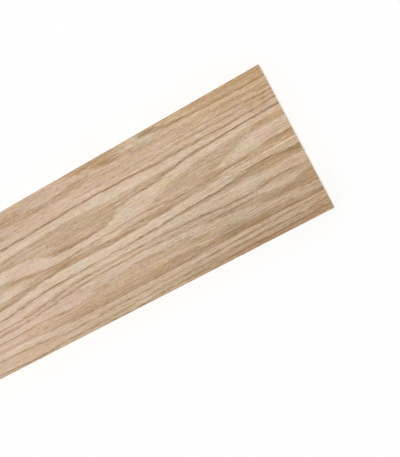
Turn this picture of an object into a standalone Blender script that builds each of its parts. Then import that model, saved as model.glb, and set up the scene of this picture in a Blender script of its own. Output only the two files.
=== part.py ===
"""Stair riser board: one plain-sawn red oak board, planed on four sides and cut square at both ends.

The board lies flat with its finished face up. X runs along its length, Y across its width and
Z out of the finished face. The origin is in the middle of the back face, which it lies on.
All sizes are in metres.
"""

from math import cos, pi, sin

import bmesh
import bpy
from mathutils import Vector

# The milled board
BOARD_LENGTH = 0.9144       # 36 in stock length
BOARD_WIDTH = 0.1905        # 7 1/2 in, the height of one stair riser
BOARD_THICKNESS = 0.01905   # 3/4 in

# The arrises
LONG_ARRIS_RADIUS = 0.0008  # rounded over by the moulder along all four long arrises
END_ARRIS_BREAK = 0.0003    # taken off with abrasive paper round each sawn end

# Facets in the quarter round of a long arris
ARRIS_FACETS = 4

# Unfinished red oak
OAK_COLOR = (0.56, 0.41, 0.28, 1.0)
OAK_ROUGHNESS = 0.55


def remove_everything():
    """Start from an empty scene."""
    for item in list(bpy.data.objects):
        bpy.data.objects.remove(item, do_unlink=True)


def oak_material():
    """The bare planed oak."""
    material = bpy.data.materials.new("red_oak")
    material.use_nodes = True
    surface = material.node_tree.nodes["Principled BSDF"]
    surface.inputs["Base Color"].default_value = OAK_COLOR
    surface.inputs["Roughness"].default_value = OAK_ROUGHNESS
    surface.inputs["Metallic"].default_value = 0.0
    material.diffuse_color = OAK_COLOR
    return material


def section_points(x):
    """The milled cross-section at x: a rectangle whose four corners are quarter rounds.

    The points run counter-clockwise when seen from the +X end.
    """
    centre_y = BOARD_WIDTH / 2 - LONG_ARRIS_RADIUS
    bottom_z = LONG_ARRIS_RADIUS
    top_z = BOARD_THICKNESS - LONG_ARRIS_RADIUS
    corners = [
        (centre_y, top_z, 0.0),
        (-centre_y, top_z, pi / 2),
        (-centre_y, bottom_z, pi),
        (centre_y, bottom_z, 3 * pi / 2),
    ]
    points = []
    for y, z, start in corners:
        for step in range(ARRIS_FACETS + 1):
            angle = start + step * (pi / 2) / ARRIS_FACETS
            points.append(Vector((
                x,
                y + LONG_ARRIS_RADIUS * cos(angle),
                z + LONG_ARRIS_RADIUS * sin(angle),
            )))
    return points


def sweep_section(shape):
    """Run the section from one sawn end to the other, as the moulder does."""
    outline = [shape.verts.new(point) for point in section_points(BOARD_LENGTH / 2)]
    right_end = shape.faces.new(outline)
    swept = bmesh.ops.extrude_face_region(shape, geom=[right_end])
    far_verts = [item for item in swept["geom"] if isinstance(item, bmesh.types.BMVert)]
    bmesh.ops.translate(shape, verts=far_verts, vec=(-BOARD_LENGTH, 0.0, 0.0))
    bmesh.ops.recalc_face_normals(shape, faces=shape.faces)


def break_end_arrises(shape):
    """Take a small flat off the arris round each sawn end."""
    end_edges = [
        edge for edge in shape.edges
        if abs(edge.verts[0].co.x - edge.verts[1].co.x) < LONG_ARRIS_RADIUS
    ]
    bmesh.ops.bevel(
        shape,
        geom=end_edges,
        offset=END_ARRIS_BREAK,
        offset_type="OFFSET",
        segments=1,
        profile=0.5,
        affect="EDGES",
        clamp_overlap=True,
    )


def make_riser_board():
    """The whole board, sawn and milled as one piece."""
    shape = bmesh.new()
    sweep_section(shape)
    break_end_arrises(shape)
    mesh = bpy.data.meshes.new("riser_board")
    shape.to_mesh(mesh)
    shape.free()
    mesh.shade_smooth()
    mesh.set_sharp_from_angle(angle=pi / 6)
    mesh.materials.append(oak_material())
    board = bpy.data.objects.new("riser_board", mesh)
    bpy.context.scene.collection.objects.link(board)
    return board


remove_everything()
make_riser_board()
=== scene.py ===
# %% [markdown]
# A stair riser board is the upright board that closes the gap between two treads. This one is a single
# plain-sawn plank of red oak, planed and sanded, square at both ends and without any finish on it.
# It could be modelled here once more, but the solid that is loaded already has the true size and the
# eased edges, so only its look is made. What makes the board worth looking at is its figure, and most
# cells below build that.

# %% Load the board and keep its box
from collections import namedtuple
from math import pi, radians

import bpy
from mathutils import Matrix, Vector


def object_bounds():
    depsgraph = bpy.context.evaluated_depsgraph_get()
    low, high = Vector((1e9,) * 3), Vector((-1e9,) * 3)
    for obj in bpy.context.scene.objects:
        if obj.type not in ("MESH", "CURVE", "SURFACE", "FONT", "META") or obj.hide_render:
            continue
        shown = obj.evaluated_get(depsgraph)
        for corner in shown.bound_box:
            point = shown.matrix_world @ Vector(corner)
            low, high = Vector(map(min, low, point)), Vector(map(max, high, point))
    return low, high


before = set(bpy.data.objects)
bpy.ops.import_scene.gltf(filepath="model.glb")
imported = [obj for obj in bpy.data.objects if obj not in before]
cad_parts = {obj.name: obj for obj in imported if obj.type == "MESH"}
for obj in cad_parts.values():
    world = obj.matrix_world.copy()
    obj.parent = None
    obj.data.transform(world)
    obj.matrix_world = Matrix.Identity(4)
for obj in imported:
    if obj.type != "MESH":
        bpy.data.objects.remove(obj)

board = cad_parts["riser_board"]
solid_low, solid_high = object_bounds()
board_size = solid_high - solid_low
print("board, millimetres:", [round(side * 1000, 2) for side in board_size])

# %% [markdown]
# The board lies flat with its face up, and the viewer looks down on it from about arm's length. Its far
# end runs out of the picture at the lower left. In a picture the long edges draw together towards a
# point far off, and how fast they do gives the lens. The camera could be moved about until the picture
# looks right, but an eye point in real distances can be checked with a ruler: it is almost straight
# above the square end, tilted a little along the board, and rolled so that the board climbs to the right.

# %% Camera over the square end
PICTURE_HEIGHT = 457            # pixels, the picture's long side
EYE_DISTANCE_IN_PIXELS = 675.0  # how far the eye is from the picture, if a pixel were a unit of length
SENSOR = 36.0                   # millimetres
EYE_ABOVE_FACE = 0.806
EYE_PAST_END = 0.0026
EYE_BELOW_MIDDLE = 0.0431
TILT_ALONG_BOARD = radians(10.96)
ROLL = radians(-27.92)

camera_data = bpy.data.cameras.new("over_the_square_end")
camera_data.sensor_width = SENSOR
camera_data.lens = SENSOR * EYE_DISTANCE_IN_PIXELS / PICTURE_HEIGHT
camera = bpy.data.objects.new("over_the_square_end", camera_data)
bpy.context.scene.collection.objects.link(camera)
bpy.context.scene.camera = camera
eye = Vector((solid_high.x + EYE_PAST_END, -EYE_BELOW_MIDDLE, solid_high.z + EYE_ABOVE_FACE))
tilt = Matrix.Rotation(TILT_ALONG_BOARD, 4, "Y")
roll = Matrix.Rotation(ROLL, 4, "Z")
camera.matrix_world = Matrix.Translation(eye) @ tilt @ roll
print("lens, millimetres:", round(camera_data.lens, 2))

# %% [markdown]
# A material is a web of nodes. Written out one by one, the nodes hide the idea, so a socket is wrapped
# in a small class whose plus, minus, times and divide make the Math nodes. An expression such as
# 1 - mask then reads like the sum that it is. Two smooth ramps are added, because almost every soft
# edge in the wood is one of them.

# %% A socket that can be added and multiplied
class Wire:
    """A value that runs through a material, wrapped so that Python's operators work on it."""

    def __init__(self, finish, socket):
        self.finish = finish
        self.socket = socket

    def maths(self, operation, *values):
        """One Math node on the values."""
        return self.finish.node("ShaderNodeMath", {"operation": operation}, dict(enumerate(values)))

    def __add__(self, other):
        return self.maths("ADD", self, other)

    def __radd__(self, other):
        return self.maths("ADD", other, self)

    def __sub__(self, other):
        return self.maths("SUBTRACT", self, other)

    def __rsub__(self, other):
        return self.maths("SUBTRACT", other, self)

    def __mul__(self, other):
        return self.maths("MULTIPLY", self, other)

    def __rmul__(self, other):
        return self.maths("MULTIPLY", other, self)

    def __truediv__(self, other):
        return self.maths("DIVIDE", self, other)

    def __rtruediv__(self, other):
        return self.maths("DIVIDE", other, self)

    def at_least(self, other):
        """The larger of the two."""
        return self.maths("MAXIMUM", self, other)

    def clamped(self):
        """The value held between 0 and 1."""
        return self.maths("MINIMUM", self.at_least(0.0), 1.0)

    def root(self):
        """Square root."""
        return self.maths("SQRT", self)

    def sign(self):
        """-1 below zero and 1 above."""
        return self.maths("SIGN", self)

    def part(self):
        """What is left after the whole number."""
        return self.maths("FRACT", self)

    def angle_to(self, other):
        """The angle whose tangent is this value over the other, in radians."""
        return self.maths("ARCTAN2", self, other)

    def ramp(self, low, high, start, end):
        """start below low, end above high, and a smooth ramp in between, which needs no clamp."""
        settings = {"interpolation_type": "SMOOTHSTEP", "clamp": False}
        sockets = {"Value": self, "From Min": low, "From Max": high, "To Min": start, "To Max": end}
        return self.finish.node("ShaderNodeMapRange", settings, sockets)

    def rise(self, low, high):
        """0 below low and 1 above high."""
        return self.ramp(low, high, 0.0, 1.0)

    def fall(self, low, high):
        """1 below low and 0 above high."""
        return self.ramp(low, high, 1.0, 0.0)


print("besides + - * and /, a wire knows:", [name for name in vars(Wire) if not name.startswith("_")])

# %% [markdown]
# The other half of the tool is the material itself. Anything that isn't arithmetic comes from one
# method, node, which takes the node's kind, its settings, and what goes into its sockets. Settings
# come first, because a node's sockets can change with them. The longer names below are shorthand for
# calls that the wood needs often: mixing two colours, vector sums, noise, and building a place. The
# light of the room is a web of nodes as well, so the same class serves for it at the end.

# %% A finish that makes its own nodes
class Finish:
    """The nodes of a material or a world, made by calls. surface is the shader that they end in."""

    def __init__(self, owner, shader):
        owner.use_nodes = True
        self.owner = owner
        self.tree = owner.node_tree
        self.surface = self.tree.nodes[shader]

    def put(self, socket, value):
        """Link a wire to a socket, or write a plain value in it."""
        if isinstance(value, Wire):
            self.tree.links.new(value.socket, socket)
        else:
            socket.default_value = value

    def node(self, kind, settings=None, sockets=None, output=0):
        """Make a node, set it, fill its sockets and return one output."""
        made = self.tree.nodes.new(kind)
        for name, value in (settings or {}).items():
            if name == "stops":
                self.set_stops(made.color_ramp, value)
            elif name == "curve":
                self.set_curve(made.mapping, value)
            else:
                setattr(made, name, value)
        for name, value in (sockets or {}).items():
            self.put(made.inputs[name], value)
        return Wire(self, made.outputs[output])

    @staticmethod
    def set_stops(ramp, stops):
        """Give a colour ramp its stops, as (place, colour) pairs."""
        for extra in range(len(stops) - 2):
            ramp.elements.new(0.5)
        for element, (place, colour) in zip(ramp.elements, stops):
            element.position = place
            element.color = colour

    @staticmethod
    def set_curve(mapping, points):
        """Lead a float curve through its points."""
        line = mapping.curves[0]
        for extra in range(len(points) - 2):
            line.points.new(0.5, 0.5)
        for handle, place in zip(line.points, points):
            handle.location = place
        mapping.update()

    def mix(self, share, first, second, blend="MIX"):
        """Two colours mixed by a share."""
        settings = {"data_type": "RGBA", "blend_type": blend}
        return self.node("ShaderNodeMix", settings, {0: share, 6: first, 7: second}, output=2)

    def vectors(self, operation, *values):
        """One Vector Math node. A dot product gives a number, the rest give a vector."""
        output = 1 if operation == "DOT_PRODUCT" else 0
        settings = {"operation": operation}
        return self.node("ShaderNodeVectorMath", settings, dict(enumerate(values)), output)

    def place(self, x, y, z):
        """Three values as one vector."""
        return self.node("ShaderNodeCombineXYZ", None, {0: x, 1: y, 2: z})

    def split(self, vector):
        """A vector's three values."""
        first = self.node("ShaderNodeSeparateXYZ", None, {0: vector})
        return [Wire(self, socket) for socket in first.socket.node.outputs]

    def noise(self, place, detail=2.0, roughness=0.5):
        """Smooth noise from about -1 to 1, whose features are about one unit of place wide."""
        sockets = {"Vector": place, "Scale": 1.0, "Detail": detail, "Roughness": roughness}
        raw = self.node("ShaderNodeTexNoise", {"noise_dimensions": "3D"}, sockets)
        return raw * 2.0 - 1.0


oak = Finish(bpy.data.materials.new("red_oak"), "Principled BSDF")
print("started the finish", oak.owner.name)

# %% [markdown]
# Wood is solid all through, so its figure follows from where a point lies inside the board. A picture
# wrapped around the board would show a seam at each edge, and a formula in three distances doesn't:
# how far the point is from the square end, how high it is across the width, and how deep below the
# face. The node gives metres, and a woodworker thinks in millimetres.

# %% Where a point lies in the board
MM = 1000.0
BOARD_LENGTH = board_size.x * MM
inside = oak.node("ShaderNodeTexCoord", None, None, output=3)
x, y, z = oak.split(inside)
from_end = solid_high.x * MM - x * MM
across = y * MM
depth = solid_high.z * MM - z * MM
print("length that the figure runs over:", round(BOARD_LENGTH, 1))

# %% [markdown]
# The grain lines on a board are the edges of the tree's yearly rings, and none of them is a clean line.
# It wavers with the trunk, and close up it is torn into short points, because the fibres run past each
# other. Such points could be painted one by one, but noise that is stretched along the grain gives
# them for the whole board: one slow waver, one fine feathering across, and one stagger that slides the
# figure lengthwise by a few centimetres, fibre by fibre. The stagger is what turns a slanting edge
# into a row of splinters.

# %% Waver, feather and stagger
def grain_noise(length, width, thickness, height=across, detail=2.0, roughness=0.6):
    """Noise whose features are this long, wide and thick, in millimetres."""
    place = oak.place(from_end / length, height / width, depth / thickness)
    return oak.noise(place, detail, roughness)


WAVER = 1.2     # millimetres across the grain
FEATHER = 1.5   # millimetres across the grain
STAGGER = 45.0  # millimetres along the grain
waver = grain_noise(30.0, 9.0, 9.0, detail=1.0)
feather = grain_noise(20.0, 1.3, 1.5, roughness=0.55)
stagger = grain_noise(22.0, 0.9, 1.0)
torn = waver * WAVER + feather * FEATHER
shifted = from_end + stagger * STAGGER
print("fibres slide past each other by up to", STAGGER, "millimetres")

# %% [markdown]
# The rings lie around the pith, the middle of the tree. This plank was sawn beside it, and the pith lay
# about six centimetres below the face, so each ring leans over and meets the face as a line along the
# board. Evenly spaced rings would be quick to make, but then nobody could say where a line goes on the
# face. So for any point in the plank this cell asks where its own ring would come up at the face, and
# the face can be drawn later. The edges and the back share that figure, and the ends show the rings as
# arcs. Rings that are too small to reach the face stay hidden under the core, and how deep they stay
# is kept for later.

# %% Follow each ring up to the face
PITH_DEPTH = 60.0
PITH_LINE = 16.0
LEAN = 0.45
lean = oak.noise(oak.place(shifted / 170.0, across / 90.0, depth / 40.0), 1.0)
below = depth * (1.0 + lean * LEAN)
aside = across - PITH_LINE
squared = aside * aside - below * (2.0 * PITH_DEPTH) + below * below
surfaced = PITH_LINE + aside.sign() * squared.at_least(0.0).root()
level = surfaced + torn
ring_radius = (PITH_DEPTH ** 2 + squared).at_least(1.0).root()
under_core = PITH_DEPTH - ring_radius
print("nodes for the rings:", len(oak.tree.nodes))

# %% [markdown]
# Noise alone gives a figure like wood, but never that of one certain board. So the figure is drawn as a
# sign painter would copy a board: 24 lines that run the whole length, from the foot of the board to
# its head, each led through the few points where it bends.
# A point is the distance from the square end and the height above the board's middle. side says on
# which side the line is darkest, near and far how dark it is at the square end and 430 mm away, fade
# how many millimetres the dark takes to die out. above is the tone just above the line, and top the
# tone just below the next one, where 0 is the palest wood and 1 the darkest. First, the foot.

# %% Grain lines of the foot
GrainLine = namedtuple("GrainLine", "name side near far fade above top points")
FOOT_LINES = [
    GrainLine("foot_edge", 1, 0.4, 0.3, 1.8, 0.42, 0.4, [
        (0, -88), (20, -89.5), (50, -90), (100, -90.5), (215, -91), (250, -92.5), (290, -94.5),
        (430, -98), (600, -92), (740, -90), (914, -92)]),
    GrainLine("foot_second", -1, 0.3, 0.4, 1.6, 0.32, 0.34, [
        (0, -80), (30, -82), (60, -83), (110, -83), (180, -85), (215, -85.2), (250, -86.2), (300, -88.8),
        (360, -90.2), (430, -92.5), (520, -88), (740, -83), (914, -85)]),
    GrainLine("foot_third", -1, 0.32, 0.38, 1.5, 0.29, 0.31, [
        (0, -73.5), (60, -75), (120, -76.5), (170, -78), (215, -79.2), (300, -79.5), (350, -81.7),
        (378, -81), (402, -77.5), (430, -76), (600, -78), (740, -76), (914, -78)]),
    GrainLine("low_tongue_foot", 1, 0.14, 0.22, 2.5, 0.54, 0.5, [
        (0, -70), (120, -69.7), (175, -71), (210, -71.6), (330, -72), (370, -71), (400, -68.5),
        (430, -67), (600, -70), (740, -69), (914, -71)]),
    GrainLine("low_tongue_waist", -1, 0.12, 0.05, 2, 0.38, 0.3, [
        (0, -67), (40, -64), (90, -61.6), (120, -60.2), (137, -61), (147, -64.5), (156, -66),
        (166, -62.5), (178, -60.5), (250, -62), (350, -61), (430, -63), (600, -60), (740, -62),
        (914, -63)]),
    GrainLine("low_tongue_tail", -1, 0.08, 0.05, 1.5, 0.39, 0.41, [
        (0, -60.5), (100, -59), (140, -58), (168, -60), (180, -60.3), (430, -62.8),
        (600, -59.8), (914, -62.8)]),
    GrainLine("low_tongue_head", -1, 0.15, 0.2, 1.6, 0.29, 0.25, [
        (0, -60), (50, -59.5), (100, -58.5), (140, -57.5), (150, -56), (158, -52.5), (165, -48.5),
        (172, -45.5), (190, -47.3), (215, -46), (235, -44), (275, -47.5), (300, -49.5),
        (309, -51.5), (314, -55.5), (330, -57), (350, -57.5), (375, -55), (400, -54.3), (430, -56),
        (560, -55), (650, -50), (740, -53), (850, -58), (914, -56)]),
    GrainLine("end_tongue_foot", 1, 0.12, 0.05, 2, 0.52, 0.5, [
        (0, -56), (30, -54), (60, -51.5), (80, -48.5), (110, -44.5), (150, -40), (230, -35),
        (350, -40), (430, -47), (560, -46), (700, -52), (800, -50), (914, -47)]),
]
print("lines of the foot:", len(FOOT_LINES))

# %% [markdown]
# The middle of the board is calmer. Long straight streaks close in on the core, the widest tongue of
# dark wood, which is where the saw just grazed a ring. It ends in a blunt point about ten centimetres
# from the square end, and a paler ring folds around it.

# %% Grain lines of the middle
MIDDLE_LINES = [
    GrainLine("end_tongue_head", -1, 0.16, 0.22, 1.3, 0.31, 0.34, [
        (0, -40), (20, -44), (35, -47), (49, -47.5), (58, -44.5), (70, -42), (110, -40.3),
        (150, -37), (180, -36), (230, -34), (270, -34), (300, -35), (350, -38.6),
        (380, -42.5), (430, -46), (560, -43), (700, -42), (800, -46), (914, -43)]),
    GrainLine("lower_line", -1, 0.42, 0.4, 1.6, 0.26, 0.2, [
        (0, -32), (20, -31.5), (50, -30.5), (70, -34), (100, -33.5), (125, -32.5), (145, -30.5),
        (180, -29.5), (200, -28), (215, -29.5), (235, -28.2), (300, -29.8), (345, -32),
        (380, -36), (430, -40), (560, -36), (680, -34), (800, -38), (914, -35)]),
    GrainLine("streak_foot", -1, 0.22, 0.05, 1.5, 0.5, 0.54, [
        (0, -16), (45, -17), (80, -16.5), (105, -16.5), (130, -16.8), (170, -17.5), (215, -19.8),
        (300, -21.5), (350, -22.8), (380, -24.8), (430, -30), (470, -31.5), (560, -26), (620, -26),
        (740, -30), (860, -29), (914, -27)]),
    GrainLine("streak_head", -1, 0.44, 0.26, 1.3, 0.24, 0.15, [
        (0, -8.5), (15, -9.5), (35, -6), (60, -6.8), (85, -9.5), (100, -12.8), (130, -14),
        (170, -15.5), (215, -18.3), (240, -19.5), (300, -20.2), (350, -21), (380, -23),
        (415, -26.5), (430, -28.5), (470, -30), (560, -24), (680, -20), (800, -24), (914, -21)]),
    GrainLine("middle_foot", 1, 0.1, 0.22, 3, 0.5, 0.46, [
        (0, 3), (50, 1.5), (100, 0), (150, -3.4), (190, -5.6), (230, -7.3), (270, -8), (320, -7.5),
        (350, -8), (370, -9.5), (400, -14), (430, -17), (470, -16), (560, -10), (680, -8),
        (800, -12), (914, -9)]),
    GrainLine("middle_head", -1, 0.06, 0.06, 2, 0.26, 0.32, [
        (0, 10.5), (60, 6.5), (110, 3), (170, 2.5), (210, 1), (250, -2), (290, -2.5), (330, 0),
        (350, -0.5), (390, -5), (430, -10), (470, -9), (520, 0), (600, 3), (740, 0), (914, -4)]),
    GrainLine("core_foot", -1, 0.5, 0.04, 1.8, 0.24, 0.18, [
        (0, 12.2), (30, 10.8), (45, 9.2), (60, 8.2), (80, 6.7), (95, 5.3), (110, 3.8), (135, 2.6),
        (170, 4), (210, 7),
        (240, 6), (270, 4.5), (300, 2.5), (340, 2), (370, 4.5), (400, 8.5), (430, 11), (520, 6),
        (600, 8), (700, 4), (800, 2), (914, 0)]),
    GrainLine("core_head", 1, 0.1, 0.02, 2, 0.41, 0.42, [
        (0, 30), (30, 29), (52, 28), (65, 25), (80, 19.5), (95, 16), (103, 12), (112, 5), (135, 3),
        (170, 4.3), (210, 7.8), (300, 2.8), (340, 2.3), (400, 8.8), (430, 11.3), (560, 9),
        (600, 16), (700, 26), (800, 24), (914, 20)]),
    GrainLine("core_ring_head", 1, 0.05, 0.05, 1.2, 0.16, 0.21, [
        (0, 37.3), (50, 35.5), (100, 33), (130, 29.5), (155, 25), (172, 19), (190, 13), (210, 9.5),
        (240, 7), (300, 3.3), (340, 2.8), (400, 9.3), (430, 12), (480, 10), (520, 14), (560, 22),
        (620, 30), (720, 34), (820, 32), (914, 28)]),
]
print("lines of the middle:", len(MIDDLE_LINES))

# %% [markdown]
# Above the core lies a second tongue, and above that the lines run almost straight to the head of the
# board. One of them, upper_line, is the strongest mark on the whole face.

# %% Grain lines of the head
HEAD_LINES = [
    GrainLine("high_tongue_foot", 1, 0.52, 0.26, 2.2, 0.45, 0.43, [
        (0, 44), (20, 43.8), (60, 43.2), (100, 41.6), (130, 39.4), (150, 36.9), (165, 33.9),
        (180, 31.8), (205, 31), (225, 28), (238, 22.6), (250, 18), (272, 13.8), (300, 12.3),
        (325, 12), (340, 15), (352, 19.5), (368, 24.5), (390, 26.5), (430, 27), (520, 27),
        (580, 33), (650, 37), (740, 40), (914, 36)]),
    GrainLine("high_tongue_head", 1, 0.04, 0.04, 1.2, 0.14, 0.24, [
        (0, 46.6), (60, 45.4), (120, 43.6), (150, 42), (250, 42.3), (325, 43.8), (360, 41.4), (400, 39.8),
        (430, 39), (470, 36), (560, 39), (650, 44), (740, 47), (914, 43)]),
    GrainLine("upper_line", 1, 0.28, 0.66, 2.6, 0.36, 0.25, [
        (0, 52.5), (20, 51.9), (50, 51.3), (100, 51.3), (130, 52.2), (165, 51.6), (215, 53.6),
        (270, 54.2), (330, 52.1), (365, 50.6), (400, 51), (470, 50), (560, 50), (650, 54), (760, 57),
        (914, 52)]),
    GrainLine("upper_second", 1, 0.26, 0.05, 1.5, 0.31, 0.29, [
        (0, 58), (60, 59), (120, 60), (200, 58.5), (300, 59.5), (400, 58), (520, 58), (650, 60),
        (760, 62), (914, 56.5)]),
    GrainLine("upper_third", 1, 0.34, 0.04, 1.6, 0.29, 0.44, [
        (0, 63.5), (60, 65.6), (130, 65.8), (200, 63), (300, 63), (400, 62), (520, 64), (650, 66),
        (760, 68), (914, 63)]),
    GrainLine("head_second", -1, 0.2, 0.16, 2, 0.34, 0.33, [
        (0, 70), (30, 73), (100, 76), (140, 77.5), (180, 78), (210, 76), (232, 77), (262, 80.6),
        (282, 80.5), (300, 76.5), (320, 74.8), (335, 77.5), (350, 80.5), (385, 80.5), (450, 79),
        (560, 75), (700, 77), (914, 72)]),
    GrainLine("head_edge", 1, 0.3, 0.2, 1.8, 0.47, 0.5, [
        (0, 82), (20, 80.7), (45, 81.5), (100, 83.8), (130, 86), (147, 89.5), (163, 91.5),
        (176, 97), (190, 97), (200, 90), (206, 85), (213, 81.5), (226, 84), (240, 86.5), (262, 91),
        (285, 96), (420, 97), (520, 90), (600, 85), (680, 88), (914, 84)]),
]
GRAIN_LINES = FOOT_LINES + MIDDLE_LINES + HEAD_LINES
print("lines on the board:", len(GRAIN_LINES))

# %% [markdown]
# A chain of ramps would need a node for every point of a line, and a float curve node holds a whole
# line. It takes the distance along the board and answers with the height of the line there, squeezed
# into the 0 to 1 that the node works in. Where two lines run together, the upper one is kept a hair
# above the lower, so that the bands between never turn over. Each node is labelled with the name of
# its line, so that it can be found in the node editor.

# %% Turn each drawn line into a height
SPAN = 100.0
LEAST_GAP = 0.25
along = shifted / BOARD_LENGTH
heights = []
for line in GRAIN_LINES:
    drawn = [(distance / BOARD_LENGTH, 0.5 + height / (2 * SPAN)) for distance, height in line.points]
    settings = {"curve": drawn, "label": line.name}
    height = oak.node("ShaderNodeFloatCurve", settings, {1: along}) * (2 * SPAN) - SPAN
    if heights:
        height = height.at_least(heights[-1] + LEAST_GAP)
    heights.append(height)
print("points drawn in all:", sum(len(line.points) for line in GRAIN_LINES))

# %% [markdown]
# Now the bands get their tones. Going from the foot to the head, each line changes the tone to the one
# above it, over a little more than a millimetre, and then lets it drift to the tone of its top. Late
# wood is darkest right at the end of a summer, so each line also lays down one dark mark on its own
# side, which rises fast and fades slowly.

# %% Tones between the lines and marks on them
FOOT_TONE = 0.46
VISIBLE = 430.0           # millimetres of the board that near and far span
CHANGE = 0.8              # how far before a line, on the sharp side of its mark, the tone changes
STEP = 0.7                # half the width of that change
MARK_RISE = (-1.4, -0.1)  # where a mark gets dark, from its line
MARK_FALL = 0.1           # where it starts to fade
MARK_TAIL = 0.5           # how much further than fade it reaches
farness = (from_end / VISIBLE).clamped()
tone = FOOT_TONE
marks = 0.0
top = FOOT_TONE
for index, line in enumerate(GRAIN_LINES):
    above = level - heights[index]
    change = -CHANGE * line.side
    tone = tone + above.rise(change - STEP, change + STEP) * (line.above - top)
    if line is not GRAIN_LINES[-1]:
        share = (above / (heights[index + 1] - heights[index])).clamped()
        tone = tone + share * (line.top - line.above)
    top = line.top
    onward = above * line.side
    dark = onward.rise(*MARK_RISE) * onward.fall(MARK_FALL, line.fade + MARK_TAIL)
    mark = dark * (farness * (line.far - line.near) + line.near)
    marks = mark.at_least(marks)
print("nodes so far:", len(oak.tree.nodes))

# %% [markdown]
# The rings under the core never reach the face, so no drawn line stands for them. They only show on
# the back and on the ends. Drawing them too would take a second set of lines that few will see, so
# they get a plain rhythm instead: pale early wood, then darker late wood, then a thin dark line, every
# few millimetres of depth.

# %% Rings under the core
RING = 5.6          # millimetres from ring to ring
RING_TORN = 0.4     # the share of the tearing that these rings get
LATE_TONE = 0.42
EARLY_PALER = 0.3
RING_MARK = 0.4     # how dark the thin line is
season = 1.0 - ((under_core + torn * RING_TORN) / RING).part()
ring_tone = LATE_TONE - season.rise(0.3, 0.8) * EARLY_PALER
ring_mark = season.rise(0.0, 0.06) * season.fall(0.06, 0.35) * RING_MARK
hidden = under_core.rise(0.0, 0.8)
tone = tone + (ring_tone - tone) * hidden
marks = marks + (ring_mark - marks) * hidden
print("rings under the core are", RING, "millimetres apart")

# %% [markdown]
# A board is never one brown. Mineral and tannin stain it in clouds that follow the grain: golden at
# the head and the square end, cool and grey low down, rosy further along, and a few orange dabs.
# Each patch below is a soft oval, given by the distance from the square end, the height above the
# middle, and its half length and half height. It can make the wood darker or paler, more golden or
# cooler, and more pink or greener. First come the broad tints.

# %% Broad tints
Patch = namedtuple("Patch", "name distance height reach spread darker golden pink", defaults=(0.0, 0.0))


def patches(*rows):
    """The rows of a table as patches."""
    return [Patch(*row) for row in rows]


TINTS = patches(
    ("golden_corner", 0, 92, 200, 36, 0, 0.75, 0.5),
    ("golden_head", 235, 93, 90, 14, 0, 0.15),
    ("golden_middle", 0, 0, 95, 20, 0, 0.35, 0.1),
    ("golden_band", 15, 34, 60, 7, 0.1, 0.45, 0.2),
    ("golden_low_tongue", 220, -60, 90, 12, 0, 0.4, 0.4),
    ("golden_far_foot", 425, -60, 90, 11, 0, 0.15, 0.5),
    ("golden_near_foot", 100, -76, 60, 12, 0, 0.15),
    ("brown_corner", 395, 82, 60, 13, 0.2, 0.3, 0.4),
    ("cool_foot", 130, -45, 130, 50, 0, -0.32, -0.4),
    ("cool_head", 150, 88, 60, 12, 0, -0.3, -0.6),
    ("rosy_foot", 400, -45, 110, 30, 0, -0.1, 0.3),
    ("rosy_upper", 270, 66, 110, 16, 0, 0, 0.5),
    ("rosy_band", 185, 57, 40, 5, 0, 0.1, 0.5),
    ("rosy_head", 285, 87, 30, 8, 0, 0.1, 0.7),
    ("rosy_pale", 35, 20, 40, 9, 0, 0, 0.5),
    ("rosy_tongue", 315, 16, 32, 5, 0.06, 0, 0.7),
    ("rosy_far", 395, 18, 30, 9, 0, -0.1, 0.3),
    ("olive_pale", 85, 15, 40, 8, -0.04, 0.2, -0.8),
    ("olive_tongue", 262, 26, 22, 7, 0.05, 0.3, -0.7),
    ("olive_end", 158, 26, 40, 6, 0, 0.3, -0.8),
    ("warm_square_end", 0, -40, 30, 60, 0, 0.15, 0.1),
    ("warm_upper_middle", 108, 55, 40, 9, 0, 0.25, 0.1),
    ("warm_far_foot", 412, -87, 24, 9, 0, 0.35, 0.3),
    ("warm_far_lower", 398, -40, 40, 9, 0, 0.15, 0.2),
    ("cool_far_middle", 412, -8, 24, 9, 0, -0.25),
    ("cool_square_end", 15, -8, 24, 9, 0, -0.25, -0.4),
    ("cool_near_foot", 54, -87, 28, 9, 0, -0.25, -0.4),
    ("warm_upper_near", 25, 56, 60, 9, 0, 0.3, 0.4),
    ("warm_lower_near", 125, -24, 32, 8, 0, 0.2, 0.2),
    ("warm_low_near", 150, -55, 42, 9, 0, 0.25),
    ("warm_low_far", 400, -57, 42, 8, 0.05, 0.25, 0.5),
    ("golden_head_middle", 195, 72, 70, 9, 0, 0.2, 0.1),
    ("cool_near_pale", 88, 24, 30, 9, 0, -0.2, -0.3),
    ("cool_middle_far", 305, -12, 26, 6, 0, -0.25, -0.3),
    ("cool_head_far", 295, 87, 50, 8, 0, -0.15),
    ("cool_lower_middle", 255, -40, 52, 8, 0, -0.2, -0.2),
    ("cool_foot_edge", 240, -88, 115, 8, 0, -0.2, -0.3),
    ("orange_low_tongue", 335, -65, 42, 7, 0.06, 0.4, 0.7),
)
print("broad tints:", len(TINTS))

# %% [markdown]
# The next patches change how dark a stretch of a band is. A drawn line has only one tone along its
# whole length, and a real band comes and goes.

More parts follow.
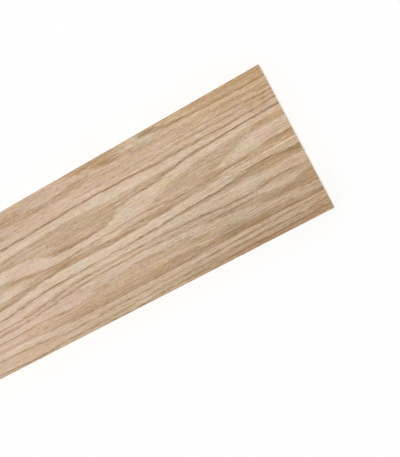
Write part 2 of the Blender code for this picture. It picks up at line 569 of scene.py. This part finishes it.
# %% Bands that come and go
TONES = patches(
    ("pale_heart", 240, -22, 85, 50, -0.05),
    ("pale_foot_middle", 240, -86, 75, 10, -0.05),
    ("pale_core_middle", 150, 33, 28, 20, -0.05),
    ("pale_core_square_end", 20, 28, 28, 10, -0.06),
    ("pale_end_tongue_middle", 86, -48, 42, 9, -0.04),
    ("pale_low_tongue_far", 322, -66, 26, 10, -0.06),
    ("dark_far_upper", 400, 66, 24, 10, 0.1),
    ("dark_far_tongue", 322, 28, 26, 10, 0.05),
    ("dark_far_lower", 410, -28, 26, 10, 0.05),
    ("dark_far_low_tongue", 412, -66, 28, 10, 0.06),
    ("dark_near_lower", 40, -28, 50, 10, 0.03),
    ("dark_near_foot", 64, -85, 28, 10, 0.04),
    ("far_middle", 425, 8, 50, 9, 0.15, 0.1, 0.1),
    ("far_core_foot", 360, 3, 50, 3.5, 0.14, 0, 0.1),
    ("far_core_head", 385, 8, 26, 3.5, 0.1),
    ("far_pale_middle", 395, -5, 32, 4, -0.12, 0, 0.2),
    ("far_low_tongue", 430, -65, 120, 11, -0.17),
    ("far_foot_band", 415, -80, 36, 6, 0.12, 0.2, 0.5),
    ("far_head_band", 345, 75, 30, 5, 0.12, 0.2, 0.5),
    ("far_upper_band", 385, 63, 24, 5, 0.12, 0, 0.1),
    ("upper_far", 290, 60, 85, 3, -0.14, 0, 0.1),
    ("upper_middle", 250, 57, 60, 3, -0.1, 0, 0.1),
    ("upper_near", 50, 61, 100, 3.5, 0.09),
    ("upper_near_pale", 40, 49, 100, 3, 0.1, 0, 0.1),
    ("near_middle_band", 50, 3, 90, 6, -0.12),
    ("near_pale_streak", 35, -2, 70, 4, 0.07, 0.1),
    ("pale_middle", 110, 0, 60, 3.5, -0.12),
    ("square_end_top", 0, 66, 50, 30, 0.06, 0.1, 0.1),
    ("head_brown", 40, 93, 130, 5, 0.1, 0.3, 0.2),
    ("head_patch", 238, 90.5, 38, 6, 0.09, 0.7, 0.6),
    ("head_patch_foot", 214, 84, 20, 6, 0.16, 0.5, 0.5),
    ("foot_near", 60, -93, 140, 5, 0.14, 0.1, 0.2),
    ("foot_middle", 255, -89, 40, 4, -0.07),
    ("low_foot_near", 60, -69, 100, 2.5, 0.05, 0.1),
    ("low_tongue_near", 110, -52, 55, 7, 0.12, 0.1),
    ("low_tongue_waist", 100, -65.5, 58, 4.2, 0.15, 0.5, 0.5),
    ("low_tongue_end", 300, -52, 14, 3.5, 0.16, 0.4, 0.2),
    ("core_far_lens", 402, 6.8, 18, 4, 0.13, 0.1, 0.4),
    ("far_tongue_heart", 318, 14.5, 28, 3.5, 0.14, 0, 0.5),
    ("head_orange_lens", 272, 76, 34, 4.6, 0.14, 0.5, 0.6),
)
print("bands changed:", len(TONES))

# %% [markdown]
# Last come the small things that the eye picks out first. They could be cut into the drawn lines, but
# a line with that many bends is hard to change later, and a patch is one row that can be moved. Here
# are the dark ones: brown wedges where a line breaks off, and short dashes where it swells.

# %% Wedges and dark dashes
DARK_DETAILS = patches(
    ("orange_knot_shadow", 332, -2.5, 32, 5.5, 0.12, 0.7, 0.8),
    ("dark_wedge", 3, -12, 28, 4, 0.26, 0.4, 0.2),
    ("second_wedge", 35, -17.5, 48, 2.6, 0.16, 0.2),
    ("gold_wedge", 42, -8, 26, 4, 0.06, 0.5, 0.4),
    ("heart_knot", 108, 7, 18, 5, 0.14, 0.3, 0.2),
    ("core_heart", 103, 16.5, 24, 4, 0.22, 0.1),
    ("core_foot_dark", 22, 10.8, 30, 1.8, 0.14, 0.1),
    ("core_foot_band", 78, 5.6, 34, 2.4, 0.24, 0.1),
    ("tongue_shadow", 75, 45, 45, 3.5, 0.08, 0.1),
    ("head_notch", 157, 91, 16, 4, 0.28, 0.2),
    ("head_notch_tail", 125, 84.8, 26, 2.4, 0.22, 0.7, 0.2),
    ("head_end_dark", 12, 81, 24, 2.4, 0.18, 0.4, 0.2),
    ("head_end_dash", 12, 70.5, 22, 2.2, 0.14, 0.3, 0.1),
    ("thin_streak", 190, -18, 45, 2.2, 0.11),
    ("thin_streak_near", 115, -17.4, 50, 2.2, 0.13),
    ("lower_dash", 130, -32, 18, 2.5, 0.12),
    ("lower_near_dash", 45, -31.3, 30, 2.2, 0.13),
    ("lower_far_dash", 352, -32.5, 22, 2.2, 0.12),
    ("middle_dash", 213, -2, 18, 3.5, 0.1),
    ("upper_far_dash", 325, 52, 35, 2.2, 0.08),
    ("notch_dark", 158, 90.7, 9, 1.6, 0.2, 0.3),
    ("head_patch_rim", 231, 84, 14, 2, 0.22, 0.2),
    ("head_notch_dash", 140, 87, 16, 2.2, 0.13, 0.2, 0.1),
    ("head_patch_lobe", 216, 81, 8, 3, 0.14, 0.5, 0.8),
    ("head_band_dash", 192, 81.5, 18, 2.6, 0.14, 0.1, 0.1),
    ("head_far_dash", 332, 71, 30, 2.2, 0.13, 0.1, 0.3),
    ("upper_line_dash", 128, 51, 18, 2, 0.12),
    ("high_tongue_dash", 195, 35.5, 14, 2.4, 0.12),
    ("high_tongue_rim", 357, 39, 16, 2, 0.1, 0, 0.3),
    ("core_end_dash", 145, 22.5, 24, 2.6, 0.09),
    ("far_core_dash", 376, 4.5, 14, 3, 0.13, 0.3, 0.1),
    ("far_core_step", 310, 3, 10, 3.6, 0.14, 0.1, 0.2),
    ("middle_far_dash", 355, -1, 13, 2, 0.1),
    ("middle_orange_dash", 240, -5.2, 16, 2.2, 0.12, 0.3, 0.4),
    ("wedge_top", 9, -7.8, 11, 1.6, 0.18, 0.1),
    ("streak_low_dash", 196, -19.3, 24, 1.8, 0.11),
    ("streak_knot", 157, -16.7, 9, 2.3, 0.24, 0.3, 0.2),
    ("far_streak_knot", 352, -23.4, 18, 2.4, 0.16, 0.3, 0.1),
    ("far_streak_dash", 407, -27, 20, 2.4, 0.14),
    ("lower_line_near", 98, -33.8, 32, 1.6, 0.14),
    ("lower_line_middle", 134, -32.4, 18, 2, 0.17),
    ("streak_near_dash", 86, -6.4, 14, 1.7, 0.12),
    ("streak_near_tail", 88, -17, 14, 2, 0.1),
    ("tongue_edge_dash", 272, 13.4, 9, 2, 0.12),
    ("far_lower_second", 385, -44, 13, 2.2, 0.12),
    ("lower_line_far", 350, -32.2, 11, 2, 0.16, 0.3, 0.3),
    ("lower_second_dash", 262, -34.2, 42, 1.3, 0.12),
    ("far_lower_dash", 403, -38, 16, 2.4, 0.12),
    ("end_tongue_dash", 100, -41.2, 18, 1.5, 0.08, 0.2, 0.2),
    ("end_tongue_tail", 125, -44, 26, 3.4, 0.13),
    ("low_head_dash", 176, -45, 12, 2.4, 0.14, 0.1),
    ("low_tongue_wedge", 163, -54, 14, 3.2, 0.2, 0.4),
    ("low_tongue_shadow", 162, -66, 22, 2.6, 0.14, 0.1),
    ("low_foot_dash", 182, -73, 20, 2, 0.11),
    ("foot_second_near", 92, -83, 46, 1.5, 0.13),
    ("foot_second_far", 290, -88, 20, 1.6, 0.13),
    ("foot_edge_near", 48, -89.4, 12, 1.4, 0.3),
    ("foot_edge_second", 93, -90.3, 15, 1.5, 0.24, 0.1),
    ("foot_edge_third", 128, -90.5, 12, 1.5, 0.18, 0.1),
    ("foot_end_dark", 13, -87.6, 15, 1.7, 0.18, 0.3),
    ("foot_third_near", 62, -75, 18, 1.4, 0.1),
    ("foot_third_end", 8, -74.6, 12, 1.6, 0.1, 0.1, 0.2),
    ("core_near_brown", 14, 6, 40, 5, 0.02, 0.4, 0.4),
    ("head_edge_dash", 92, 83.6, 24, 1.8, 0.13, 0.1, 0.1),
    ("upper_third_near", 20, 63.4, 24, 2.2, 0.12, 0.3, 0.4),
    ("streak_near_second", 76, -10.4, 18, 1.6, 0.14),
    ("lower_line_thick", 138, -31.6, 15, 1.8, 0.14),
    ("high_tongue_streak", 230, 34.6, 24, 1.7, 0.14),
    ("middle_near_dash", 171, -1.2, 8, 1.3, 0.22),
    ("lower_middle_dash", 226, -28.6, 11, 1.6, 0.2),
    ("low_wedge_line", 160, -57.7, 12, 1.1, 0.2),
    ("lower_far_band", 322, -29.6, 26, 2, 0.12),
    ("core_foot_step", 56, 9, 14, 1.8, 0.14),
    ("core_head_dark", 95, 21, 20, 3, 0.1),
    ("middle_band_dark", 265, -4.8, 30, 1.8, 0.11),
    ("middle_band_near", 214, -1.2, 18, 1.8, 0.11),
    ("upper_line_far", 385, 49.8, 22, 1.6, 0.15),
)
print("wedges and dark dashes:", len(DARK_DETAILS))

# %% [markdown]
# Between the dark marks the early wood shines through in short pale ones. They matter as much as the
# dark ones, because a dark line only looks crisp beside something pale.

# %% Pale marks
PALE_DETAILS = patches(
    ("pale_middle_mark", 163, -3.8, 16, 1.6, -0.12),
    ("pale_core_mark", 168, 4.2, 16, 1.6, -0.1),
    ("pale_tongue_end", 128, 41, 16, 1.6, -0.1),
    ("pale_end_tongue_mark", 140, -40.4, 12, 1.6, -0.1),
    ("pale_core_foot", 150, 3.5, 38, 2.4, -0.16),
    ("pale_lower_strip", 322, -26, 26, 1.6, -0.12),
    ("pale_streak_head", 180, -15.8, 22, 1.8, -0.16),
    ("pale_streak", 230, -16.3, 24, 2, -0.14),
    ("pale_far_streak", 337, -19.2, 22, 2.2, -0.16),
    ("pale_lower_middle", 265, -35, 60, 3.5, -0.1),
    ("pale_lower_near", 50, -36.5, 40, 2.6, -0.08),
    ("pale_lower_notch", 213, -28.8, 14, 2.4, -0.24),
    ("pale_end_tongue_far", 157, -38.4, 34, 2, -0.18),
    ("pale_lower_seam", 255, -31.4, 46, 1.6, -0.1),
    ("pale_lower_knot", 300, -36, 14, 2.8, -0.18),
    ("pale_olive_lower", 42, -40, 28, 3.4, -0.09, 0.1, -0.5),
    ("pale_lower_far", 345, -42, 20, 3, -0.07),
    ("pale_end_tongue", 82, -44, 22, 3, -0.1),
    ("pale_low_foot", 255, -74, 75, 4, -0.1),
    ("pale_high_foot", 158, 37, 28, 3, -0.1),
    ("pale_tongue_tip", 256, 14.3, 11, 2.4, -0.18),
    ("pale_middle_tip", 250, 1, 16, 3, -0.14),
    ("pale_middle_seam", 258, -2.3, 22, 1.9, -0.15),
    ("pale_middle_near", 116, -2, 16, 3.6, -0.11, 0, -0.2),
    ("pale_core_seam", 88, 0.8, 17, 1.7, -0.15),
    ("pale_wedge_end", 10, -10, 11, 1.7, -0.13),
    ("pale_low_tongue", 312, -63, 19, 2.6, -0.13),
    ("pale_low_tongue_edge", 312, -72.4, 11, 1.7, -0.14),
    ("pale_core_near", 40, 12.6, 14, 1.7, -0.16),
    ("pale_core_end", 42, 29.3, 18, 2, -0.14, 0, 0.2),
    ("pale_high_soft", 200, 32, 34, 1.8, -0.12),
    ("pale_wedge_seam", 86, -9.2, 10, 1.9, -0.16),
    ("pale_far_middle", 410, 0, 24, 3, -0.11, 0, 0.3),
    ("pale_far_tongue", 376, 26.6, 26, 2.4, -0.13),
    ("pale_low_wedge", 158, -61, 11, 1.8, -0.18),
    ("pale_foot_seam", 78, -86.8, 28, 1.8, -0.12),
    ("pale_tongue_far", 350, 22, 24, 2.8, -0.17),
    ("pale_tongue_inside", 283, 20, 22, 2.2, -0.11),
    ("pale_upper_dash", 222, 63.5, 18, 2.2, -0.11),
    ("pale_upper_second", 190, 56, 16, 2.2, -0.11),
    ("pale_head_band", 212, 76, 42, 3.6, -0.13),
    ("pale_head_far", 315, 69, 42, 2.8, -0.11),
    ("pale_head_dash", 108, 87.2, 18, 2.2, -0.18),
    ("pale_head_seam", 242, 86.8, 10, 2, -0.24),
    ("pale_head_lens", 240, 79.5, 15, 2.2, -0.14),
    ("pale_upper_near", 51, 66.5, 15, 1.6, -0.11),
    ("pale_upper_end", 50, 60.6, 16, 1.6, -0.11),
    ("pale_upper_line", 68, 53.6, 11, 2.4, -0.11),
    ("pale_head_tip", 252, 81, 14, 2.2, -0.11),
)
print("pale marks:", len(PALE_DETAILS))

# %% [markdown]
# The smallest stains change little but the hue. This board has orange dabs, mostly low down and at
# the square end, and between them spots that are only a little warmer or cooler than the wood around.

# %% Dabs of colour
DABS = patches(
    ("orange_dab_low", 138, -65, 10, 3, 0.02, 0.5, 1),
    ("orange_dab_near", 100, -65, 9, 3, 0, 0.4, 0.8),
    ("orange_dab_foot", 68, -91, 14, 3.5, 0, 0.4, 0.8),
    ("orange_dab_end", 4, -50, 10, 4, 0, 0.5, 0.8),
    ("orange_dab_corner", 5, 86, 8, 4, 0, 0.4, 1),
    ("orange_dab_far", 332, -66, 14, 3, 0, 0.5, 1),
    ("orange_dab_middle", 245, -5, 22, 3, 0, 0.3, 0.7),
    ("orange_dab_edge", 420, -13.5, 12, 3, 0, 0.4, 0.8),
    ("orange_dab_low_edge", 235, -91.5, 10, 2.2, 0.08, 0.6, 0.8),
    ("orange_dab_foot_end", 5, -90.5, 9, 3, 0, 0.5, 0.8),
    ("red_dab_foot", 28, -91, 13, 2.6, 0.04, 0.3, 1),
    ("orange_dab_head", 263, 92, 9, 2.4, 0.08, 0.6, 0.9),
    ("orange_square_end", 5, -48, 13, 7, 0.03, 0.4, 0.6),
    ("warm_dab_wedge", 40, -14.2, 18, 4.5, 0, 0.5, 0.9),
    ("warm_dab_upper", 315, 56.6, 14, 7, 0, 0.5, 0.6),
    ("warm_dab_tongue", 250, 30.6, 24, 8.5, 0, 0.5, 0.5),
    ("warm_dab_head", 198, 82.2, 8, 7.5, 0, 0.45, 0.65),
    ("cool_dab_upper", 292, 61, 10, 8, 0, -0.3, -0.9),
    ("cool_dab_streak", 46, -3.4, 16, 5.5, 0, -0.75, -0.3),
    ("cool_dab_streak_middle", 175, -13.8, 12, 6, 0, -0.5, -0.7),
    ("cool_dab_low_end", 18, -60.6, 9, 5, 0, -0.3, -0.9),
    ("cool_dab_core_foot", 45, 13, 11, 6, 0, -0.5, -0.6),
    ("cool_dab_core", 66, 20.2, 9, 7, 0, -0.2, -0.9),
    ("cool_dab_foot", 158, -79.8, 9, 6, 0, -0.3, -0.8),
    ("cool_dab_high_tongue", 121, 41, 12, 5, 0, -0.2, -0.9),
    ("cool_dab_low_tongue", 99, -54.2, 15, 6.5, 0, -0.15, -0.9),
    ("cool_dab_head", 44, 90.2, 24, 3, 0, -0.2, -1.2),
    ("cool_dab_far_foot", 406, -90.2, 18, 3, 0, -0.55, -0.7),
    ("warm_dab_low_tongue", 345, -59, 14, 7, 0, 0.15, 1),
    ("warm_dab_notch", 120, 87, 8, 4, 0, 0.3, 0.8),
    ("warm_dab_upper_end", 11, 66.6, 16, 9, 0, 0.4, 0.6),
    ("warm_dab_foot_edge", 78, -88.6, 8, 2, 0, 0.65, 0.2),
    ("cool_dab_corner", 6, 91, 8, 3, 0, -0.5, -0.8),
    ("cool_dab_core_end", 231, 20.6, 16, 9, 0, -0.25, -0.9),
    ("cool_dab_near_foot", 61, -82.6, 9, 8, 0, -0.3, -0.85),
    ("cool_dab_wedge", 11, -3, 12, 5, 0, -0.55, -0.5),
    ("cool_dab_heart", 260, -16.2, 9, 5, 0, -0.15, -1),
    ("cool_dab_lower", 65, -22.2, 9, 6, 0, -0.3, -0.85),
    ("cool_dab_high_soft", 250, 45.8, 9, 8, 0, -0.1, -1),
    ("cool_dab_low_middle", 199, -57, 9, 4.5, 0, -0.45, -0.6),
    ("cool_dab_far_lower", 285, -43.8, 12, 8, 0, -0.45, -0.55),
    ("cool_dab_middle", 86, -5, 20, 9, 0, -0.4, -0.55),
    ("cool_dab_pale_end", 22, 21.8, 14, 6, 0, -0.2, -0.85),
)
DETAILS = DARK_DETAILS + PALE_DETAILS + DABS
print("dabs:", len(DABS), "and small patches in all:", len(DETAILS))

# %% [markdown]
# All patches are laid in one loop. A patch changes three things, and a vector carries the three at
# once, so a whole patch costs five nodes. The first shrinks its oval to a ball round zero, the second
# measures how far out a point lies, squared, and the third turns that into a soft cover. The fourth
# makes a vector of the cover, and the last adds the patch to the colour shift. A patch is laid on the
# wavering, staggered place that the lines use, so its rim is torn by the fibres like everything else,
# but a small one is staggered less, or nothing of it would be left. A third number sinks the point
# with the rings under the core, where no patch belongs. The colour shift starts with a slow drift over
# the board: darker towards the square end, and near it darker towards the foot as well, more golden
# towards the square end, and a little pink all over.

# %% Lay the patches
SMALL_STAGGER = 15.0      # millimetres, for the small patches
PATCH_DEPTH = 2.0         # millimetres under the core at which a patch has died out
END_DARKER = 0.13
FOOT_DARKER = 0.0012      # for each millimetre towards the foot
END_GOLDEN = 0.15
ALL_PINK = 0.08
buried = under_core.at_least(0.0) * (1 / PATCH_DEPTH)
broad_spot = oak.place(shifted, level, buried)
close_spot = oak.place(from_end + stagger * SMALL_STAGGER, level, buried)
nearness = 1.0 - farness
# a slow drift: darker towards the square end and, near it, towards the foot; more golden towards the
# square end
colour_shift = oak.place(nearness * (END_DARKER - across * FOOT_DARKER), nearness * END_GOLDEN, ALL_PINK)
for patch in TINTS + TONES + DETAILS:
    spot = close_spot if patch in DETAILS else broad_spot
    shrink = (1 / patch.reach, 1 / patch.spread, 1.0)
    shift = (-patch.distance / patch.reach, -patch.height / patch.spread, 0.0)
    off = oak.vectors("MULTIPLY_ADD", spot, shrink, shift)
    cover = oak.vectors("DOT_PRODUCT", off, off).fall(0.0, 1.0)
    cover = oak.place(cover, cover, cover)
    colour_shift = oak.vectors("MULTIPLY_ADD", cover, (patch.darker, patch.golden, patch.pink), colour_shift)
    colour_shift.socket.node.label = patch.name
darker, golden, pink = oak.split(colour_shift)
print("patches laid:", len(TINTS + TONES + DETAILS))

# %% [markdown]
# Between the drawn lines the wood is still full of streaks, far too many to draw. They come from noise
# in several sizes, all of them long and thin: clouds as wide as a finger, streaks, strands, single
# fibres, and a fine grain of specks. The marks on the lines are broken up in the same way, because a
# late wood line is a row of dashes when it is looked at closely. Towards the square end all of it
# grows a little stronger.

# %% Streaks, strands and fibres
CLOUDS, STREAKS, STRANDS, FIBRES, SPECKS = 0.15, 0.28, 0.34, 0.36, 0.24  # how much each shows
SWING = 1.3             # how much stronger or weaker a mark gets along its line
SOLID = 0.38            # what stays of a mark between its dashes
DASHED = 0.82           # what a dash adds
strength = (1.0 + grain_noise(60.0, 5.0, 6.0, detail=1.0) * SWING).at_least(0.0)
dashes = grain_noise(10.0, 0.8, 0.9).rise(-0.4, 0.4)
clouds = grain_noise(90.0, 12.0, 14.0, height=across + torn)
streaks = grain_noise(70.0, 2.6, 2.6)
strands = grain_noise(34.0, 1.1, 1.1)
fibres = grain_noise(9.0, 0.9, 0.7, height=across, detail=1.0)
specks = grain_noise(2.6, 1.4, 0.8, height=across, detail=1.0)
FAR_VIGOUR = 0.96
END_VIGOUR = 0.18       # added at the square end
PALER = 0.005           # evens out the mean tone
vigour = FAR_VIGOUR + nearness * END_VIGOUR
grain = marks * strength * (dashes * DASHED + SOLID)
grain = grain + streaks * STREAKS + strands * STRANDS + fibres * FIBRES + specks * SPECKS
total = tone + darker + clouds * CLOUDS + grain * vigour - PALER
print("nodes so far:", len(oak.tree.nodes))

# %% [markdown]
# On the sawn ends the fibres are cut across, and oak looks quite different there: darker, full of open
# pores, and crossed by pale rays that run straight out from the pith. The ends could have a material of
# their own, but then the rings wouldn't meet at the corner. Here the same tone goes on, and a mask that is
# 1 within a hair of either end adds rays and pores to it.

# %% End grain
CUT = (0.05, 0.25)      # millimetres from an end over which its end grain dies out
RAYS_ROUND = 70.0       # about as many rays in each radian round the pith
RAY_LENGTH = 14.0       # millimetres
RAYS_PALER = 0.3
CUT_DARKER = 0.22
PORES_DARKER = 0.22
RHYTHM = 0.25
cut_end = from_end.fall(*CUT).at_least((BOARD_LENGTH - from_end).fall(*CUT))
ray_angle = aside.angle_to(PITH_DEPTH - depth)
ray_place = oak.place(ray_angle * RAYS_ROUND, ring_radius / RAY_LENGTH, 0.0)
rays = oak.noise(ray_place, 2.0, 0.6).rise(0.15, 0.5)
open_pores = oak.noise(oak.place(across / 0.7, depth / 0.6, 5.0), 2.0, 0.6).rise(0.0, 0.5)
ring_rhythm = oak.noise(oak.place(ring_radius / 1.6, 3.0, 0.0), 1.0) * RHYTHM
total = total + cut_end * (CUT_DARKER + open_pores * PORES_DARKER + ring_rhythm - rays * RAYS_PALER)
print("nodes with those of the ends:", len(oak.tree.nodes))

# %% [markdown]
# The tone picks a colour. Bare red oak runs from a pale straw pink to a warm brown, and six stops are
# enough. Screen colours are easy to judge by eye, while nodes work in linear light, so a helper turns
# one into the other.

# %% Colours of bare red oak
def screen_colour(red, green, blue):
    """A colour given as it shows on a screen, 0 to 255, in the linear light that nodes work in."""
    shares = [value / 255 for value in (red, green, blue)]
    linear = [share / 12.92 if share <= 0.04045 else ((share + 0.055) / 1.055) ** 2.4 for share in shares]
    return (*linear, 1.0)


WOOD = [
    (0.0, screen_colour(227, 207, 183)),
    (0.10, screen_colour(220, 198, 174)),
    (0.30, screen_colour(207, 181, 156)),
    (0.50, screen_colour(189, 162, 134)),
    (0.70, screen_colour(171, 143, 113)),
    (1.0, screen_colour(143, 114, 81)),
]
wood = oak.node("ShaderNodeValToRGB", {"stops": WOOD}, {0: total})
print("colour stops:", len(WOOD))

# %% [markdown]
# Two slow noises make the hue drift, on top of the patches: one between cool and golden, one between
# green and pink. Multiplying by a tint that is close to white moves the hue and leaves the tone alone.

# %% Let the hue drift
def tinted(ground, amount, less, more):
    """The ground colour, tinted by one colour where amount is -1 and by another where it is 1."""
    first = oak.mix(1.0, ground, less, "MULTIPLY")
    second = oak.mix(1.0, ground, more, "MULTIPLY")
    return oak.mix((amount * 0.5 + 0.5).clamped(), first, second)


COOL = (0.98, 1.01, 1.18, 1.0)
GOLDEN = (1.02, 0.99, 0.82, 1.0)
GREEN = (0.96, 1.02, 0.98, 1.0)
PINK = (1.04, 0.98, 1.02, 1.0)
GOLDEN_DRIFT = 1.7
PINK_DRIFT = 2.5
ELSEWHERE = 300.0       # millimetres, so that the two noises don't go together
golden = golden + grain_noise(30.0, 4.0, 4.0, detail=3.0) * GOLDEN_DRIFT
pink = pink + grain_noise(22.0, 5.0, 4.0, height=across + ELSEWHERE, detail=3.0) * PINK_DRIFT
wood = tinted(wood, golden, COOL, GOLDEN)
wood = tinted(wood, pink, GREEN, PINK)
oak.put(oak.surface.inputs["Base Color"], wood)
print("drift between cool and golden, green and pink:", GOLDEN_DRIFT, PINK_DRIFT)

# %% [markdown]
# Planed oak feels smooth, and still its pores stay open as fine grooves a few millimetres long. A
# Bump node gives them a depth without any geometry. Late wood is denser and takes a slight polish from
# the plane, so it is a little less rough. Bare wood hardly mirrors anything, which keeps the specular
# level low.

# %% Feel of the surface
BUMP = 0.35
PORE_DEPTH = 0.0002     # metres
PALE_ROUGHNESS = 0.70
LATE_SMOOTHER = 0.16
PORE_ROUGHER = 0.05
pores = grain_noise(7.0, 0.35, 0.35, height=across, detail=1.0).rise(0.1, 0.5)
grooves = {"Strength": BUMP, "Distance": PORE_DEPTH, "Height": 1.0 - pores}
roughness = PALE_ROUGHNESS - total * LATE_SMOOTHER + pores * PORE_ROUGHER
oak.put(oak.surface.inputs["Normal"], oak.node("ShaderNodeBump", None, grooves))
oak.put(oak.surface.inputs["Roughness"], roughness)
oak.surface.inputs["Specular IOR Level"].default_value = 0.2
board.data.materials.clear()
board.data.materials.append(oak.owner)
print("nodes in the finish:", len(oak.tree.nodes))

# %% [markdown]
# The board lies on a white sheet, as a thing does that is photographed to be sold. Without a floor it
# would float in white and cast no shadow. The sheet is a plain plane, large enough that no other view
# sees its rim.

# %% Floor
SHEET_SIDE = 12.0       # metres
SHEET_WHITE = 0.99
bpy.ops.mesh.primitive_plane_add(size=SHEET_SIDE, location=(0, 0, 0))
floor = bpy.context.object
floor.name = "floor"
sheet = Finish(bpy.data.materials.new("white_sheet"), "Principled BSDF")
sheet.surface.inputs["Base Color"].default_value = (SHEET_WHITE, SHEET_WHITE, SHEET_WHITE, 1.0)
sheet.surface.inputs["Roughness"].default_value = 0.9
floor.data.materials.append(sheet.owner)
print("floor, metres:", round(floor.dimensions.x, 1))

# %% [markdown]
# The light is soft and almost shadowless. Nearly three quarters of it come from one wide lamp straight
# above, and the rest from a white room all round. Together they add up to 1, the level at which a
# colour on the face renders as it is written. The room alone would leave a grey rim on the sheet
# around the board, because the board hides half of the room from it, and the lamp takes most of
# that away. What the camera sees behind the sheet is plain white, and a mirror or a glass would see
# the same.

# %% Light
FROM_ABOVE = 0.72
SOFTNESS = radians(14)
lamp = bpy.data.lights.new("softbox", "SUN")
lamp.energy = FROM_ABOVE * pi
lamp.angle = SOFTNESS
softbox = bpy.data.objects.new("softbox", lamp)
softbox.location = (0, 0, 2)
bpy.context.scene.collection.objects.link(softbox)

room = Finish(bpy.data.worlds.new("white_room"), "Background")
bpy.context.scene.world = room.owner
to_camera = room.node("ShaderNodeLightPath")
kinds = to_camera.socket.node.outputs
in_mirror = Wire(room, kinds["Is Glossy Ray"])
through_glass = Wire(room, kinds["Is Transmission Ray"])
seen = to_camera.at_least(in_mirror).at_least(through_glass)
room.surface.inputs["Color"].default_value = (1, 1, 1, 1)
room.put(room.surface.inputs["Strength"], seen * FROM_ABOVE + (1 - FROM_ABOVE))
bpy.context.scene.view_settings.view_transform = "Standard"
print("light from above and from the room:", FROM_ABOVE, round(1 - FROM_ABOVE, 2))

# %% [markdown]
